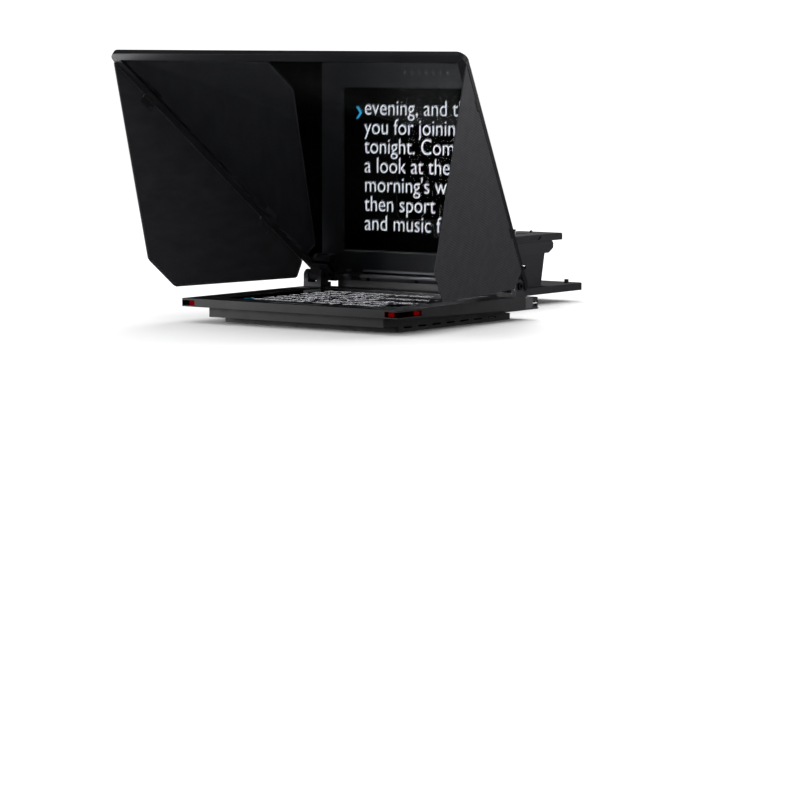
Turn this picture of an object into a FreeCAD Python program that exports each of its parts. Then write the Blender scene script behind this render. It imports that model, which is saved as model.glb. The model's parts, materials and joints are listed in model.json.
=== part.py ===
import FreeCAD, Part
import math
import os
from FreeCAD import Placement, Rotation, Vector

os.makedirs("parts", exist_ok=True)

# Through-the-glass teleprompter for a studio camera, in millimetres.
# +X is to the right of someone who reads it, +Y runs from the reader to the camera, +Z is up.
# The origin is the centre of the four pan-and-tilt head bolts, on the underside of the base.

# ---- monitor: a 19 inch 5:4 panel lying face up ---------------------------------------------
active_width = 376.3
active_depth = 301.1
monitor_half_width = 239.5
monitor_depth = 389.0
monitor_front_y = -560.0
monitor_top_z = 44.6
front_thickness = 14.6
rear_thickness = 22.8
bezel_thickness = 3.0
window_front = 46.4          # from the monitor's front edge to the lit area
window_gap = 0.5
case_wall = 2.5
case_floor = 2.0

# ---- menu buttons ---------------------------------------------------------------------------
button_count = 7
button_pitch = 16.0
button_radius = 4.3
button_depth = 17.0          # from the monitor's front edge
button_gap = 0.35
recess_depth = 0.8

# ---- tally lights at the two front corners --------------------------------------------------
tally_front_length = 30.0
tally_side_length = 68.0
tally_height = 9.6
tally_wall = 2.4
tally_pocket = 9.0
tally_lamp_x = 20.0            # from the monitor's side
tally_lamp_depth = 60.0        # from the monitor's front edge

# ---- electronics housing, tray and head mount -----------------------------------------------
housing_half_width = 195.0
housing_front = 21.0
housing_rear = 386.0
housing_floor_h = -33.0
shell_wall = 2.0
tray_half_width = 192.0
tray_front = 62.0
tray_rear = 410.0
tray_floor = 3.0
tray_wall = 2.5
slot_count = 7
slot_pitch = 42.67
slot_length = 24.5
slot_height = 3.0
slot_first = 93.0
block_half_width = 100.0
block_front = 330.0
block_rear = 640.0
block_top_h = -22.8
head_bolt_x = 60.0
head_bolt_y = 100.0
head_bolt_r = 3.97           # tapping drill for a 3/8 inch 16 thread
head_bolt_depth = 16.0

# ---- rear plate, riser and camera plate -----------------------------------------------------
plate_half_width = 70.0
plate_front = 416.0
plate_rear = 839.5
plate_top_h = -9.0
plate_corner_r = 12.0
riser_half_width = 50.0
riser_front = 585.0
riser_rear = 735.0
riser_taper = 10.0
riser_top_h = 52.5
riser_wall = 7.0
head_top_h = 75.0
head_rear = 762.0
dovetail_top = 27.0
dovetail_bottom = 33.0
dovetail_depth = 8.0
slide_gap = 0.3
camera_plate_front = 600.0
camera_plate_rear = 795.0
camera_plate_thickness = 13.0
plate_lift = 0.4             # running gap under the camera plate
camera_screw_r = 4.76        # 3/8 inch stud
camera_screw_stand = 9.0

# ---- hood: mirror glass at 45 degrees in a trapezoid frame ----------------------------------
pivot_depth = 368.0          # from the monitor's front edge
pivot_height = 20.0          # above the monitor's top
glass_angle = 45.0
mirror_m = -18.3             # silvered face, measured from the pivot towards the reader
glass_thickness = 3.0
frame_rear_m = -25.5
frame_front_m = -15.3
frame_top_v = 569.1
frame_bottom_v = -30.0
wing_top_v = 549.1
wing_top_half = 385.3
frame_slope = 0.26495        # half-width lost per millimetre down the frame
rail_width = 17.0
glass_inset = 7.0
groove_gap = 0.15
frame_corner_r = 16.0
light_lip_half = 190.0
light_lip_thickness = 3.0
light_lip_bottom = -1.5

# ---- hood hinges ----------------------------------------------------------------------------
bracket_inner = 199.0
bracket_outer = 239.0
bracket_front = 356.0
bracket_rear = 388.0
ear_thickness = 10.0
ear_radius = 11.8
pin_radius = 4.0
pin_clearance = 0.05
eye_radius = 9.5
arm_gap = 0.5
foot_thickness = 3.0

# ---- folding side wings ---------------------------------------------------------------------
wing_axis_u = 1.5            # inward from the frame's outer edge
wing_axis_n = 5.6            # in front of the silvered face
wing_open_angle = 89.4
wing_sheet = (-2.5, -0.5)    # thickness range, inward from the hinge axis
lining_thickness = 0.4
leaf_thickness = 0.9
wing_edge_b = -1.6
hinge_places = (100.0, 435.0)
hinge_length = 28.0
knuckle_radius = 2.2
wing_pin_radius = 1.1

# ---- cloth shroud behind the glass ----------------------------------------------------------
shroud_wall = 2.0
lens_half_width = 95.0
lens_depth = 440.0           # from the monitor's front edge
lens_low_h = 120.0
lens_high_h = 310.0


def depth(distance):
    """Y of a point this far behind the monitor's front edge."""
    return monitor_front_y + distance


def height(rise):
    """Z of a point this far above the monitor's top face."""
    return monitor_top_z + rise


def box(x0, x1, y0, y1, z0, z1):
    corner = Vector(min(x0, x1), min(y0, y1), min(z0, z1))
    return Part.makeBox(abs(x1 - x0), abs(y1 - y0), abs(z1 - z0), corner)


def rod(start, direction, radius, length):
    return Part.makeCylinder(radius, length, Vector(*start), Vector(*direction))


def prism(points, direction):
    """Closed outline of 3-D points pushed along a vector."""
    corners = [Vector(*p) for p in points]
    wire = Part.makePolygon(corners + [corners[0]])
    return Part.Face(wire).extrude(Vector(*direction))


def profile_x(points, x0, x1):
    """Outline in (y, z) pushed along X."""
    return prism([(x0, y, z) for y, z in points], (x1 - x0, 0, 0))


def plan(points, z0, z1):
    """Outline in (x, y) pushed along Z."""
    return prism([(x, y, z0) for x, y in points], (0, 0, z1 - z0))


def join(shapes):
    shape = shapes[0]
    if len(shapes) > 1:
        shape = shape.multiFuse(shapes[1:])
    return shape.removeSplitter()


def carve(shape, tools):
    return shape.cut(tools).removeSplitter()


def group(shapes):
    """Separate solids that share one node."""
    return Part.makeCompound(shapes)


def mirrored(shape):
    return shape.mirror(Vector(0, 0, 0), Vector(1, 0, 0))


def fillet_along(shape, axis, radius, pick=None):
    """Round the straight edges that run along one axis ('X', 'Y' or 'Z')."""
    chosen = []
    for edge in shape.Edges:
        if edge.Curve.TypeId != "Part::GeomLine":
            continue
        way = edge.Vertexes[-1].Point.sub(edge.Vertexes[0].Point)
        if way.Length < 1e-6:
            continue
        along = abs(getattr(way, axis.lower())) / way.Length
        if along > 0.999 and (pick is None or pick(edge.CenterOfMass)):
            chosen.append(edge)
    return shape.makeFillet(radius, chosen)


def save(name, shape):
    shape.exportStep("parts/%s.step" % name)


def save_pair(name, right_shape):
    save(name + "_right", right_shape)
    save(name + "_left", mirrored(right_shape))


# ---- monitor --------------------------------------------------------------------------------

def button_places():
    middle = (button_count - 1) / 2.0
    return [(index - middle) * button_pitch for index in range(button_count)]


def oval(half_length, radius, y, z0, z1):
    ends = [rod((x, y, z0), (0, 0, 1), radius, z1 - z0) for x in (-half_length, half_length)]
    return join(ends + [box(-half_length, half_length, y - radius, y + radius, z0, z1)])


def monitor_bezel():
    w = monitor_half_width
    plate = box(-w, w, depth(0), depth(monitor_depth), height(-bezel_thickness), height(0))
    plate = fillet_along(plate, "Z", 3.0)
    half = active_width / 2 + window_gap
    front = depth(window_front - window_gap)
    rear = depth(window_front + active_depth + window_gap)
    window = box(-half, half, front, rear, height(-4), height(1))
    recess = oval(54.0, 8.0, depth(button_depth), height(-recess_depth), height(1))
    hole_r = button_radius + button_gap
    holes = [rod((x, depth(button_depth), height(-4)), (0, 0, 1), hole_r, 5) for x in button_places()]
    plate = carve(plate, [window, recess] + holes)
    top = [e for e in plate.Edges if e.BoundBox.ZMin > height(-0.01) and window_edge(e, half, front, rear)]
    return plate.makeChamfer(1.0, top)


def window_edge(edge, half, front, rear):
    """True for the four straight edges of the screen window."""
    mid = edge.CenterOfMass
    on_side = abs(abs(mid.x) - half) < 0.01
    on_end = min(abs(mid.y - front), abs(mid.y - rear)) < 0.01
    return on_side or on_end


def screen_cover_glass():
    half = active_width / 2 + window_gap - 0.2
    front = depth(window_front - window_gap + 0.2)
    rear = depth(window_front + active_depth + window_gap - 0.2)
    return box(-half, half, front, rear, height(-2.8), height(-1.2))


def panel_layer(top_h, bottom_h, border):
    half = active_width / 2 + border
    front = depth(window_front - border)
    rear = depth(window_front + active_depth + border)
    return box(-half, half, front, rear, height(bottom_h), height(top_h))


def backlight():
    slab = panel_layer(-5.3, -12.0, 10.0)
    pockets = []
    for x in (-120, 0, 120):
        pockets.append(box(x - 50, x + 50, depth(60), depth(330), height(-13), height(-11)))
    return carve(slab, pockets)


def case_underside(distance):
    """Height of the case's sloping underside."""
    return -front_thickness - (rear_thickness - front_thickness) * distance / monitor_depth


def case_outline(inset, lift):
    """Side outline of the wedge-shaped case."""
    first = inset
    last = monitor_depth - inset
    top = -bezel_thickness
    return [(depth(first), height(top)), (depth(last), height(top)),
            (depth(last), height(case_underside(last) + lift)),
            (depth(first), height(case_underside(first) + lift))]


def tally_pocket_tool(grow):
    """Corner block that the tally lens and its light fill, at the right front corner."""
    w = monitor_half_width + 1
    z0 = height(-bezel_thickness - tally_height)
    z1 = height(-bezel_thickness)
    front = box(w - tally_front_length - 1 - grow, w, depth(-1), depth(tally_pocket), z0, z1)
    side = box(w - tally_pocket - 1, w, depth(-1), depth(tally_side_length + grow), z0, z1)
    return join([front, side])


def monitor_case():
    w = monitor_half_width
    body = profile_x(case_outline(0, 0), -w, w)
    body = fillet_along(body, "Z", 3.0)
    cavity = profile_x(case_outline(case_wall, case_floor), -w + case_wall, w - case_wall)
    body = carve(body, [cavity])
    posts = []
    for x in (-225, 225):
        for y in (100, 240, 362):
            low = height(case_underside(y) + 0.5)
            posts.append(rod((x, depth(y), low), (0, 0, 1), 5, height(-bezel_thickness) - low))
    walls = []
    for side in (-1, 1):
        inner = side * (w - tally_pocket - 1.5)
        outer = side * (w - tally_pocket)
        walls.append(box(inner, outer, depth(tally_pocket), depth(tally_side_length + 1.5),
                         height(-14.8), height(-bezel_thickness)))
        walls.append(box(side * (w - tally_front_length - 1.5), outer, depth(tally_pocket),
                         depth(tally_pocket + 1.5), height(-14.8), height(-bezel_thickness)))
    body = join([body] + posts + walls)
    cable_hole = box(-40, 40, depth(200), depth(250), height(-25), height(-14))
    pocket = tally_pocket_tool(0.1)
    return carve(body, [pocket, mirrored(pocket), cable_hole])


def tally_lens():
    """Tinted L-shaped lens that wraps round the right front corner."""
    w = monitor_half_width
    z0 = height(-bezel_thickness - tally_height + 0.1)
    z1 = height(-bezel_thickness - 0.1)
    front = box(w - tally_front_length, w, depth(0), depth(tally_wall), z0, z1)
    side = box(w - tally_wall, w, depth(0), depth(tally_side_length), z0, z1)
    lens = join([front, side])
    return fillet_along(lens, "Z", 3.0, lambda p: p.x > w - 0.1 and p.y < depth(0.1))


def tally_leds():
    """Two red lights behind each lens, one facing forward and one facing sideways."""
    w = monitor_half_width
    leds = []
    for side in (-1, 1):
        across = side * (w - tally_lamp_x)
        lamp = rod((across, depth(tally_wall + 0.2), height(-8)), (0, 1, 0), 3.2, 5.5)
        base = box(across - 5, across + 5, depth(7.0), depth(8.6), height(-11.5), height(-4.5))
        leds.append(join([lamp, base]))
        start = side * (w - tally_wall - 0.2)
        along = depth(tally_lamp_depth)
        lamp = rod((start, along, height(-8)), (-side, 0, 0), 3.2, 5.5)
        base = box(side * (w - 7.0), side * (w - 8.6), along - 5, along + 5, height(-11.5), height(-4.5))
        leds.append(join([lamp, base]))
    return group(leds)


def menu_button(x):
    y = depth(button_depth)
    cap = rod((x, y, height(-3.9)), (0, 0, 1), button_radius, 3.7)
    cap = cap.makeFillet(0.5, [e for e in cap.Edges if e.BoundBox.ZMin > height(-0.3)])
    flange = rod((x, y, height(-3.9)), (0, 0, 1), button_radius + 1.1, 0.7)
    stem = rod((x, y, height(-4.6)), (0, 0, 1), 2.0, 0.9)
    return join([cap, flange, stem])


def circuit_board(x0, x1, y0, y1, z, chips):
    """Board with its top face at height z and chips given as (x, y, width, depth, height)."""
    board = box(x0, x1, y0, y1, z - 1.6, z)
    blocks = []
    for x, y, wide, deep, tall in chips:
        blocks.append(box(x - wide / 2, x + wide / 2, y - deep / 2, y + deep / 2, z - 0.1, z + tall))
    return join([board] + blocks)


def button_board():
    return circuit_board(-62, 62, depth(7), depth(27), height(-6.2), [(x, depth(17), 4, 4, 0.8)
                                                                 for x in button_places()])


def controller_board():
    chips = [(60, depth(120), 34, 34, 3), (110, depth(120), 20, 14, 2), (60, depth(170), 16, 22, 2),
             (110, depth(165), 30, 12, 3), (140, depth(200), 12, 20, 6), (70, depth(215), 44, 12, 4)]
    return circuit_board(35, 165, depth(85), depth(235), height(-27.0), chips)


def power_board():
    chips = [(-70, depth(120), 40, 34, 8), (-120, depth(110), 16, 16, 7), (-120, depth(140), 16, 16, 7),
             (-70, depth(180), 50, 14, 6), (-130, depth(190), 22, 30, 6)]
    return circuit_board(-160, -40, depth(85), depth(225), height(-27.0), chips)


def electronics_housing():
    w = housing_half_width
    outer = box(-w, w, depth(housing_front), depth(housing_rear), height(housing_floor_h), height(-10))
    outer = fillet_along(outer, "Z", 4.0)
    inner = box(-w + shell_wall, w - shell_wall, depth(housing_front + shell_wall),
                depth(housing_rear - shell_wall), height(housing_floor_h + shell_wall), height(0))
    over = [(depth(-5), height(5)), (depth(400), height(5)),
            (depth(400), height(case_underside(400))), (depth(-5), height(case_underside(-5)))]
    wedge = profile_x(over, -w - 5, w + 5)
    shell = carve(outer, [inner, wedge])
    floor_top = height(housing_floor_h + shell_wall)
    stands = []
    for x, y in ((45, 95), (155, 95), (45, 225), (155, 225), (-50, 95), (-150, 95), (-50, 215), (-150, 215)):
        stands.append(rod((x, depth(y), floor_top - 0.5), (0, 0, 1), 3, height(-28.6) - floor_top + 0.5))
    shell = join([shell] + stands)
    screws = [rod((x, depth(y), height(-36)), (0, 0, 1), 2.1, 6) for x, y in tray_post_places()]
    return carve(shell, screws)


def tray_post_places():
    return [(x, y) for x in (-165, 165) for y in (78, 250, 370)]


# ---- base -----------------------------------------------------------------------------------

def base_tray():
    w = tray_half_width
    z0 = height(-monitor_top_z)
    top = height(housing_floor_h)
    outer = box(-w, w, depth(tray_front), depth(tray_rear), z0, top)
    outer = fillet_along(outer, "Z", 5.0)
    inner = box(-w + tray_wall, w - tray_wall, depth(tray_front + tray_wall),
                depth(tray_rear - tray_wall), z0 + tray_floor, top + 1)
    tongue = box(-block_half_width - 0.3, block_half_width + 0.3, depth(tray_rear - 5),
                 depth(tray_rear + 1), z0 + tray_floor, top + 1)
    tray = carve(outer, [inner, tongue])
    posts = [rod((x, depth(y), z0 + 0.5), (0, 0, 1), 6, top - z0 - 0.5) for x, y in tray_post_places()]
    tray = join([tray] + posts)
    cuts = []
    for index in range(slot_count):
        middle = slot_first + index * slot_pitch
        cuts.append(box(-w - 1, w + 1, depth(middle - slot_length / 2), depth(middle + slot_length / 2),
                        top - 5.2, top - 5.2 + slot_height))
    bores = [rod((x, depth(y), z0 - 1), (0, 0, 1), 2.1, 20) for x, y in tray_post_places()]
    sinks = [rod((x, depth(y), z0 - 1), (0, 0, 1), 4.2, 3.4) for x, y in tray_post_places()]
    clear = [box(-w + 40, w - 40, depth(tray_front + 10), depth(tray_rear - 90), top - 5.3, top - 2)]
    tray = carve(tray, [c.cut(clear) for c in cuts] + bores + sinks)
    tongue_holes = [rod((x, depth(y), z0 - 1), (0, 0, 1), 3.1, 5) for x, y in tongue_bolt_places()]
    tongue_sinks = [rod((x, depth(y), z0 - 1), (0, 0, 1), 5.2, 2.6) for x, y in tongue_bolt_places()]
    return carve(tray, tongue_holes + tongue_sinks)


def tongue_bolt_places():
    return [(x, y) for x in (-70, 70) for y in (345, 390)]


def plate_bolt_places():
    return [(x, y) for x in (-50, 50) for y in (440, 560)]


def riser_bolt_places():
    return [(x, y) for x in (-34, 34) for y in (612, 708)]


def mount_block():
    w = block_half_width
    z0 = height(-monitor_top_z)
    rear = box(-w, w, depth(tray_rear + 0.2), depth(block_rear), z0, height(block_top_h))
    rear = fillet_along(rear, "Z", 8.0, lambda p: p.y > depth(block_rear - 1))
    tongue = box(-w, w, depth(block_front), depth(tray_rear + 1), z0 + tray_floor, height(-33.1))
    block = join([rear, tongue])
    cuts = []
    for x in (-head_bolt_x / 2, head_bolt_x / 2):
        for y in (-head_bolt_y / 2, head_bolt_y / 2):
            cuts.append(rod((x, y, z0 - 1), (0, 0, 1), head_bolt_r, head_bolt_depth + 1))
    for x, y in plate_bolt_places():
        cuts.append(rod((x, depth(y), height(block_top_h) - 14), (0, 0, 1), 4.0, 15))
    for x, y in tongue_bolt_places():
        cuts.append(rod((x, depth(y), z0), (0, 0, 1), 3.0, 14))
    for side in (-1, 1):
        cuts.append(box(side * (w - 4), side * (w + 1), depth(430), depth(block_rear - 20),
                        z0 + 7, height(block_top_h) - 6))
    return carve(block, cuts)


def rear_plate():
    w = plate_half_width
    z0 = height(block_top_h)
    z1 = height(plate_top_h)
    plate = box(-w, w, depth(plate_front), depth(plate_rear), z0, z1)
    plate = fillet_along(plate, "Z", plate_corner_r, lambda p: p.y > depth(plate_rear - 1))
    top = [e for e in plate.Edges if e.BoundBox.ZMin > z1 - 0.01]
    plate = plate.makeChamfer(0.8, top)
    cuts = []
    for x, y in plate_bolt_places():
        cuts.append(rod((x, depth(y), z0 - 1), (0, 0, 1), 4.2, 20))
        cuts.append(rod((x, depth(y), z1 - 8), (0, 0, 1), 7.0, 9))
    for x, y in riser_bolt_places():
        cuts.append(rod((x, depth(y), z0 - 1), (0, 0, 1), 4.2, 20))
        cuts.append(rod((x, depth(y), z0 - 1), (0, 0, 1), 7.0, 9))
    for x, y in stop_places():
        cuts.append(rod((x, depth(y), z1 - 10), (0, 0, 1), 2.5, 11))
    cuts.append(rod((0, depth(780), z0 - 1), (0, 0, 1), head_bolt_r, 20))
    return carve(plate, cuts)


def stop_places():
    return [(-50, 808), (50, 808)]


def end_stop_screws():
    screws = []
    for x, y in stop_places():
        z1 = height(plate_top_h)
        head = rod((x, depth(y), z1), (0, 0, 1), 4.2, 7.5)
        head = head.makeFillet(0.8, [e for e in head.Edges if e.BoundBox.ZMin > z1 + 7])
        screws.append(join([head, rod((x, depth(y), z1 - 9), (0, 0, 1), 2.5, 9.5)]))
    return group(screws)


def cap_screw(place, direction, shank_r, shank, head_r, head):
    """Socket-head screw whose head starts at a place and whose shank runs along a direction."""
    way = Vector(*direction)
    at = Vector(*place)
    body = Part.makeCylinder(head_r, head, at, way.negative())
    shaft = Part.makeCylinder(shank_r, shank, at, way)
    socket_r = head_r * 0.55
    turn = Rotation(Vector(0, 0, 1), way.negative())
    corners = [turn.multVec(Vector(socket_r * math.cos(math.radians(60 * k)),
                                   socket_r * math.sin(math.radians(60 * k)), 0)) for k in range(6)]
    base = at + way.negative() * head * 0.45
    wire = Part.makePolygon([base + c for c in corners + [corners[0]]])
    socket = Part.Face(wire).extrude(way.negative() * head)
    return carve(join([body, shaft]), [socket])


def m8_bolts():
    """Bolts that hold the rear plate on the mount block and the riser on the rear plate."""
    z0 = height(block_top_h)
    z1 = height(plate_top_h)
    down = [cap_screw((x, depth(y), z1 - 8), (0, 0, -1), 3.95, 19, 6.8, 7.6)
            for x, y in plate_bolt_places()]
    up = [cap_screw((x, depth(y), z0 + 8), (0, 0, 1), 3.95, 13.5, 6.8, 7.6)
          for x, y in riser_bolt_places()]
    return group(down + up)


def m6_bolts():
    """Bolts that hold the riser head on the riser and the mount block in the tray."""
    z0 = height(-monitor_top_z)
    z1 = height(head_top_h)
    head = [cap_screw((x, depth(y), z1 - 6.2), (0, 0, -1), 2.95, 24, 5.0, 5.8)
            for x, y in head_screw_places()]
    tongue = [cap_screw((x, depth(y), z0 + 1.6), (0, 0, 1), 2.95, 9.5, 5.0, 1.5)
              for x, y in tongue_bolt_places()]
    return group(head + tongue)


def tray_screws():
    z0 = height(-monitor_top_z)
    return group([cap_screw((x, depth(y), z0 + 2.4), (0, 0, 1), 2.0, 10.5, 4.0, 2.2)
                  for x, y in tray_post_places()])


def riser():
    z0 = height(plate_top_h)
    z1 = height(riser_top_h)

    def ring(inset, z, share):
        half = riser_half_width - 2 * (1 - share) - inset
        front = depth(riser_front + riser_taper * (1 - share) + inset)
        rear = depth(riser_rear - riser_taper * (1 - share) - inset)
        corners = [(-half, front), (half, front), (half, rear), (-half, rear), (-half, front)]
        return Part.makePolygon([Vector(x, y, z) for x, y in corners])

    outer = Part.makeLoft([ring(0, z0, 0.0), ring(0, z1, 1.0)], True, True)
    edges = [e for e in outer.Edges if e.BoundBox.ZLength > 20]
    outer = outer.makeFillet(4.0, edges)
    inner = Part.makeLoft([ring(riser_wall, z0, 0.0), ring(riser_wall, z1 - 10, 1.0)], True, True)
    bosses = [rod((x, depth(y), z0), (0, 0, 1), 8.5, 14) for x, y in riser_bolt_places()]
    body = join([carve(outer, [inner])] + bosses)
    bores = [rod((x, depth(y), z0 - 1), (0, 0, 1), 4.0, 10) for x, y in riser_bolt_places()]
    top_bores = [rod((x, depth(y), z1 - 9), (0, 0, 1), 3.0, 12) for x, y in head_screw_places()]
    return carve(body, bores + top_bores)


def head_screw_places():
    return [(x, y) for x in (-40, 40) for y in (606, 706)]


def riser_head():
    z0 = height(riser_top_h)
    z1 = height(head_top_h)
    outline = [(depth(600), z0), (depth(745), z0), (depth(749), z0 + 1.5), (depth(head_rear), z0 + 9),
               (depth(head_rear), z1 - 4), (depth(head_rear - 4), z1), (depth(596), z1), (depth(596), z0 + 4)]
    block = profile_x(outline, -riser_half_width, riser_half_width)
    groove = dovetail(slide_gap, depth(590), depth(770), z1 + 1)
    spindle = rod((-riser_half_width - 1, depth(680), height(58.6)), (1, 0, 0), 3.0, 14)
    holes = [rod((x, depth(y), z0 - 1), (0, 0, 1), 3.1, 30) for x, y in head_screw_places()]
    sinks = [rod((x, depth(y), z1 - 6.2), (0, 0, 1), 5.2, 8) for x, y in head_screw_places()]
    return carve(block, [groove, spindle] + holes + sinks)


def dovetail(gap, y0, y1, top):
    """Dovetail bar under the camera plate; a positive gap gives the groove that it slides in."""
    floor = height(head_top_h) - dovetail_depth - gap
    lean = (dovetail_bottom - dovetail_top) / dovetail_depth
    upper = dovetail_bottom + gap - lean * (top - floor)
    points = [(-dovetail_bottom - gap, y0, floor), (dovetail_bottom + gap, y0, floor),
              (upper, y0, top), (-upper, y0, top)]
    return prism(points, (0, y1 - y0, 0))


def camera_plate():
    z0 = height(head_top_h) + plate_lift
    z1 = z0 + camera_plate_thickness
    y0 = depth(camera_plate_front)
    y1 = depth(camera_plate_rear)
    plate = box(-riser_half_width, riser_half_width, y0, y1, z0, z1)
    plate = fillet_along(plate, "Z", 3.0)
    plate = plate.makeChamfer(1.2, [e for e in plate.Edges if e.BoundBox.ZMin > z1 - 0.01])
    tongue = dovetail(0.0, y0 + 6, y1 - 6, z0 + 0.2)
    shape = join([plate, tongue])
    cuts = []
    for side in (-1, 1):
        x = side * riser_half_width
        points = [(x, depth(625), z0 + 9.5), (x, depth(722), z0 + 9.5), (x, depth(714), z0 + 2.6),
                  (x, depth(633), z0 + 2.6)]
        cuts.append(prism(points, (-side * 3.0, 0, 0)))
    cuts.append(oval_y(camera_screw_r + 0.4, depth(660), depth(740), z0 - 12, z1 + 1))
    cuts.append(oval_y(9.4, depth(655), depth(745), z0 - 12, z0 + 1.5))
    cuts.append(rod((0, depth(760), z1 - 8), (0, 0, 1), 3.0, 9))
    return carve(shape, cuts)


def oval_y(radius, y0, y1, z0, z1):
    """Slot with round ends that runs along Y."""
    ends = [rod((0, y, z0), (0, 0, 1), radius, z1 - z0) for y in (y0, y1)]
    return join(ends + [box(-radius, radius, y0, y1, z0, z1)])


def camera_screw():
    """Captive 3/8 inch screw: a head below the plate, a plain neck and a thread above it."""
    z0 = height(head_top_h) + plate_lift
    z1 = z0 + camera_plate_thickness
    head = rod((0, depth(700), z0 - 5.9), (0, 0, 1), 8.8, 7.2)
    neck = rod((0, depth(700), z0), (0, 0, 1), camera_screw_r - 0.5, camera_plate_thickness + 1)
    thread = rod((0, depth(700), z1), (0, 0, 1), camera_screw_r, camera_screw_stand)
    return join([head, neck, thread])


def locating_pin():
    z1 = height(head_top_h) + plate_lift + camera_plate_thickness
    root = rod((0, depth(760), z1 - 8), (0, 0, 1), 2.95, 8)
    nose = rod((0, depth(760), z1), (0, 0, 1), 2.5, 4.5)
    nose = nose.makeFillet(0.5, [e for e in nose.Edges if e.BoundBox.ZMin > z1 + 4.4])
    return join([root, nose])


def clamp_lever():
    """Lever on the riser head's left side that clamps the camera plate."""
    x = -riser_half_width - 0.4
    y = depth(680)
    z = height(58.6)
    boss = rod((x, y, z), (-1, 0, 0), 7.5, 7.0)
    arm = box(x - 6.2, x - 1.2, y, y + 46, z - 4.0, z + 4.0)
    grip = rod((x - 0.8, y + 46, z), (-1, 0, 0), 6.0, 7.5)
    spindle = rod((x + 12.0, y, z), (-1, 0, 0), 2.95, 13.0)
    return join([boss, arm, grip, spindle])


# ---- rear connector cover -------------------------------------------------------------------

bnc_places = (226.0, 204.0, 182.0, 160.0)
network_places = (-126.0, -150.0)
power_place = -200.0
bnc_height = -15.5
power_height = -13.0
jack_half_width = 11.95
cover_front = 391.5
cover_rear = 415.0


def connector_cover():
    y0 = depth(cover_front)
    y1 = depth(cover_rear)
    z0 = height(-22.6)
    z1 = height(-3.5)
    outer = box(-236, 236, y0, y1, z0, z1)
    outer = fillet_along(outer, "X", 2.0, lambda p: p.y > y1 - 0.1)
    inner = box(-234, 234, y0 - 1, y1 - 2, z0 + 2, z1 - 2)
    neck = box(-234, 234, depth(monitor_depth), y0 + 1.5, z0 + 2, z1 - 2)
    neck = neck.cut(box(-231, 231, depth(monitor_depth) - 1, y0 + 5, z0 + 5, z1 - 5))
    cover = join([carve(outer, [inner]), neck])
    cuts = [rod((x, y1 - 4, height(bnc_height)), (0, 1, 0), 5.1, 6) for x in bnc_places]
    cuts.append(rod((power_place, y1 - 4, height(power_height)), (0, 1, 0), 7.6, 6))
    cuts += [box(x - 12.1, x + 12.1, y0 - 9, y1 + 1, z0 - 1, z1 + 1) for x in network_places]
    return carve(cover, cuts)


def bnc_connectors():
    parts = []
    y = depth(cover_rear)
    z = height(bnc_height)
    for x in bnc_places:
        barrel = rod((x, y - 6, z), (0, 1, 0), 4.8, 27)
        flange = rod((x, y, z), (0, 1, 0), 6.8, 2.2)
        bore = rod((x, y + 8, z), (0, 1, 0), 3.6, 14)
        core = rod((x, y + 7, z), (0, 1, 0), 1.0, 11)
        lugs = rod((x, y + 16, z - 5.8), (0, 0, 1), 1.0, 11.6)
        parts.append(join([carve(join([barrel, flange, lugs]), [bore]), core]))
    return group(parts)


def network_jacks():
    """Two jack blocks that fill the gap between the two halves of the cover."""
    parts = []
    y = depth(cover_rear)
    for x in network_places:
        block = box(x - jack_half_width, x + jack_half_width, y - 21, y, height(-22.6), height(-3.5))
        rim = box(x - 8, x + 8, y - 1, y + 1.5, height(-20), height(-6))
        socket = box(x - 5.9, x + 5.9, y - 13, y + 2, height(-17.6), height(-9.4))
        latch = box(x - 3.2, x + 3.2, y - 13, y + 2, height(-9.5), height(-7.8))
        parts.append(carve(join([block, rim]), [socket, latch]))
    return group(parts)


def power_inlet():
    y = depth(cover_rear)
    z = height(power_height)
    barrel = rod((power_place, y - 8, z), (0, 1, 0), 7.4, 22)
    flange = rod((power_place, y, z), (0, 1, 0), 8.8, 2.5)
    bore = rod((power_place, y + 5, z), (0, 1, 0), 6.0, 12)
    pins = []
    for k in range(4):
        turn = math.radians(45 + 90 * k)
        at = (power_place + 3.2 * math.cos(turn), y + 4, z + 3.2 * math.sin(turn))
        pins.append(rod(at, (0, 1, 0), 0.9, 8))
    return join([carve(join([barrel, flange]), [bore])] + pins)


def connector_guard():
    plate = box(150, 236, depth(cover_front + 2), depth(437), height(-24.1), height(-22.6))
    return fillet_along(plate, "Z", 5.0, lambda p: p.y > depth(430))


# ---- hood hinge brackets, fixed to the monitor ----------------------------------------------

pivot_y = depth(pivot_depth)
pivot_z = height(pivot_height)


def hinge_bracket():
    inner = bracket_inner
    outer = bracket_outer
    base = box(inner, outer, depth(bracket_front), depth(bracket_rear), height(0), height(8))
    ears = []
    for x in (inner, outer - ear_thickness):
        block = box(x, x + ear_thickness, pivot_y - ear_radius, pivot_y, height(4), pivot_z)
        tail = box(x, x + ear_thickness, pivot_y - 1, pivot_y + ear_radius, height(4), pivot_z)
        ring = rod((x, pivot_y, pivot_z), (1, 0, 0), ear_radius, ear_thickness)
        ears += [block, tail, ring]
    body = join([base] + ears)
    bore = rod((inner - 1, pivot_y, pivot_z), (1, 0, 0), pin_radius, outer - inner + 2)
    return carve(body, [bore])


def hinge_pin():
    x = bracket_outer
    return cap_screw((x, pivot_y, pivot_z), (-1, 0, 0), pin_radius, x - bracket_inner, 7.0, 3.4)


# ---- hood, drawn flat about its pivot and then tilted ---------------------------------------
# In the hood's own axes x is the row's X, v runs up the glass and m towards the reader.

hood_place = Placement(Vector(0, pivot_y, pivot_z), Rotation(Vector(1, 0, 0), 180 - glass_angle))


def tilt(shape):
    placed = shape.copy()
    placed.Placement = hood_place.multiply(placed.Placement)
    return placed


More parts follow.
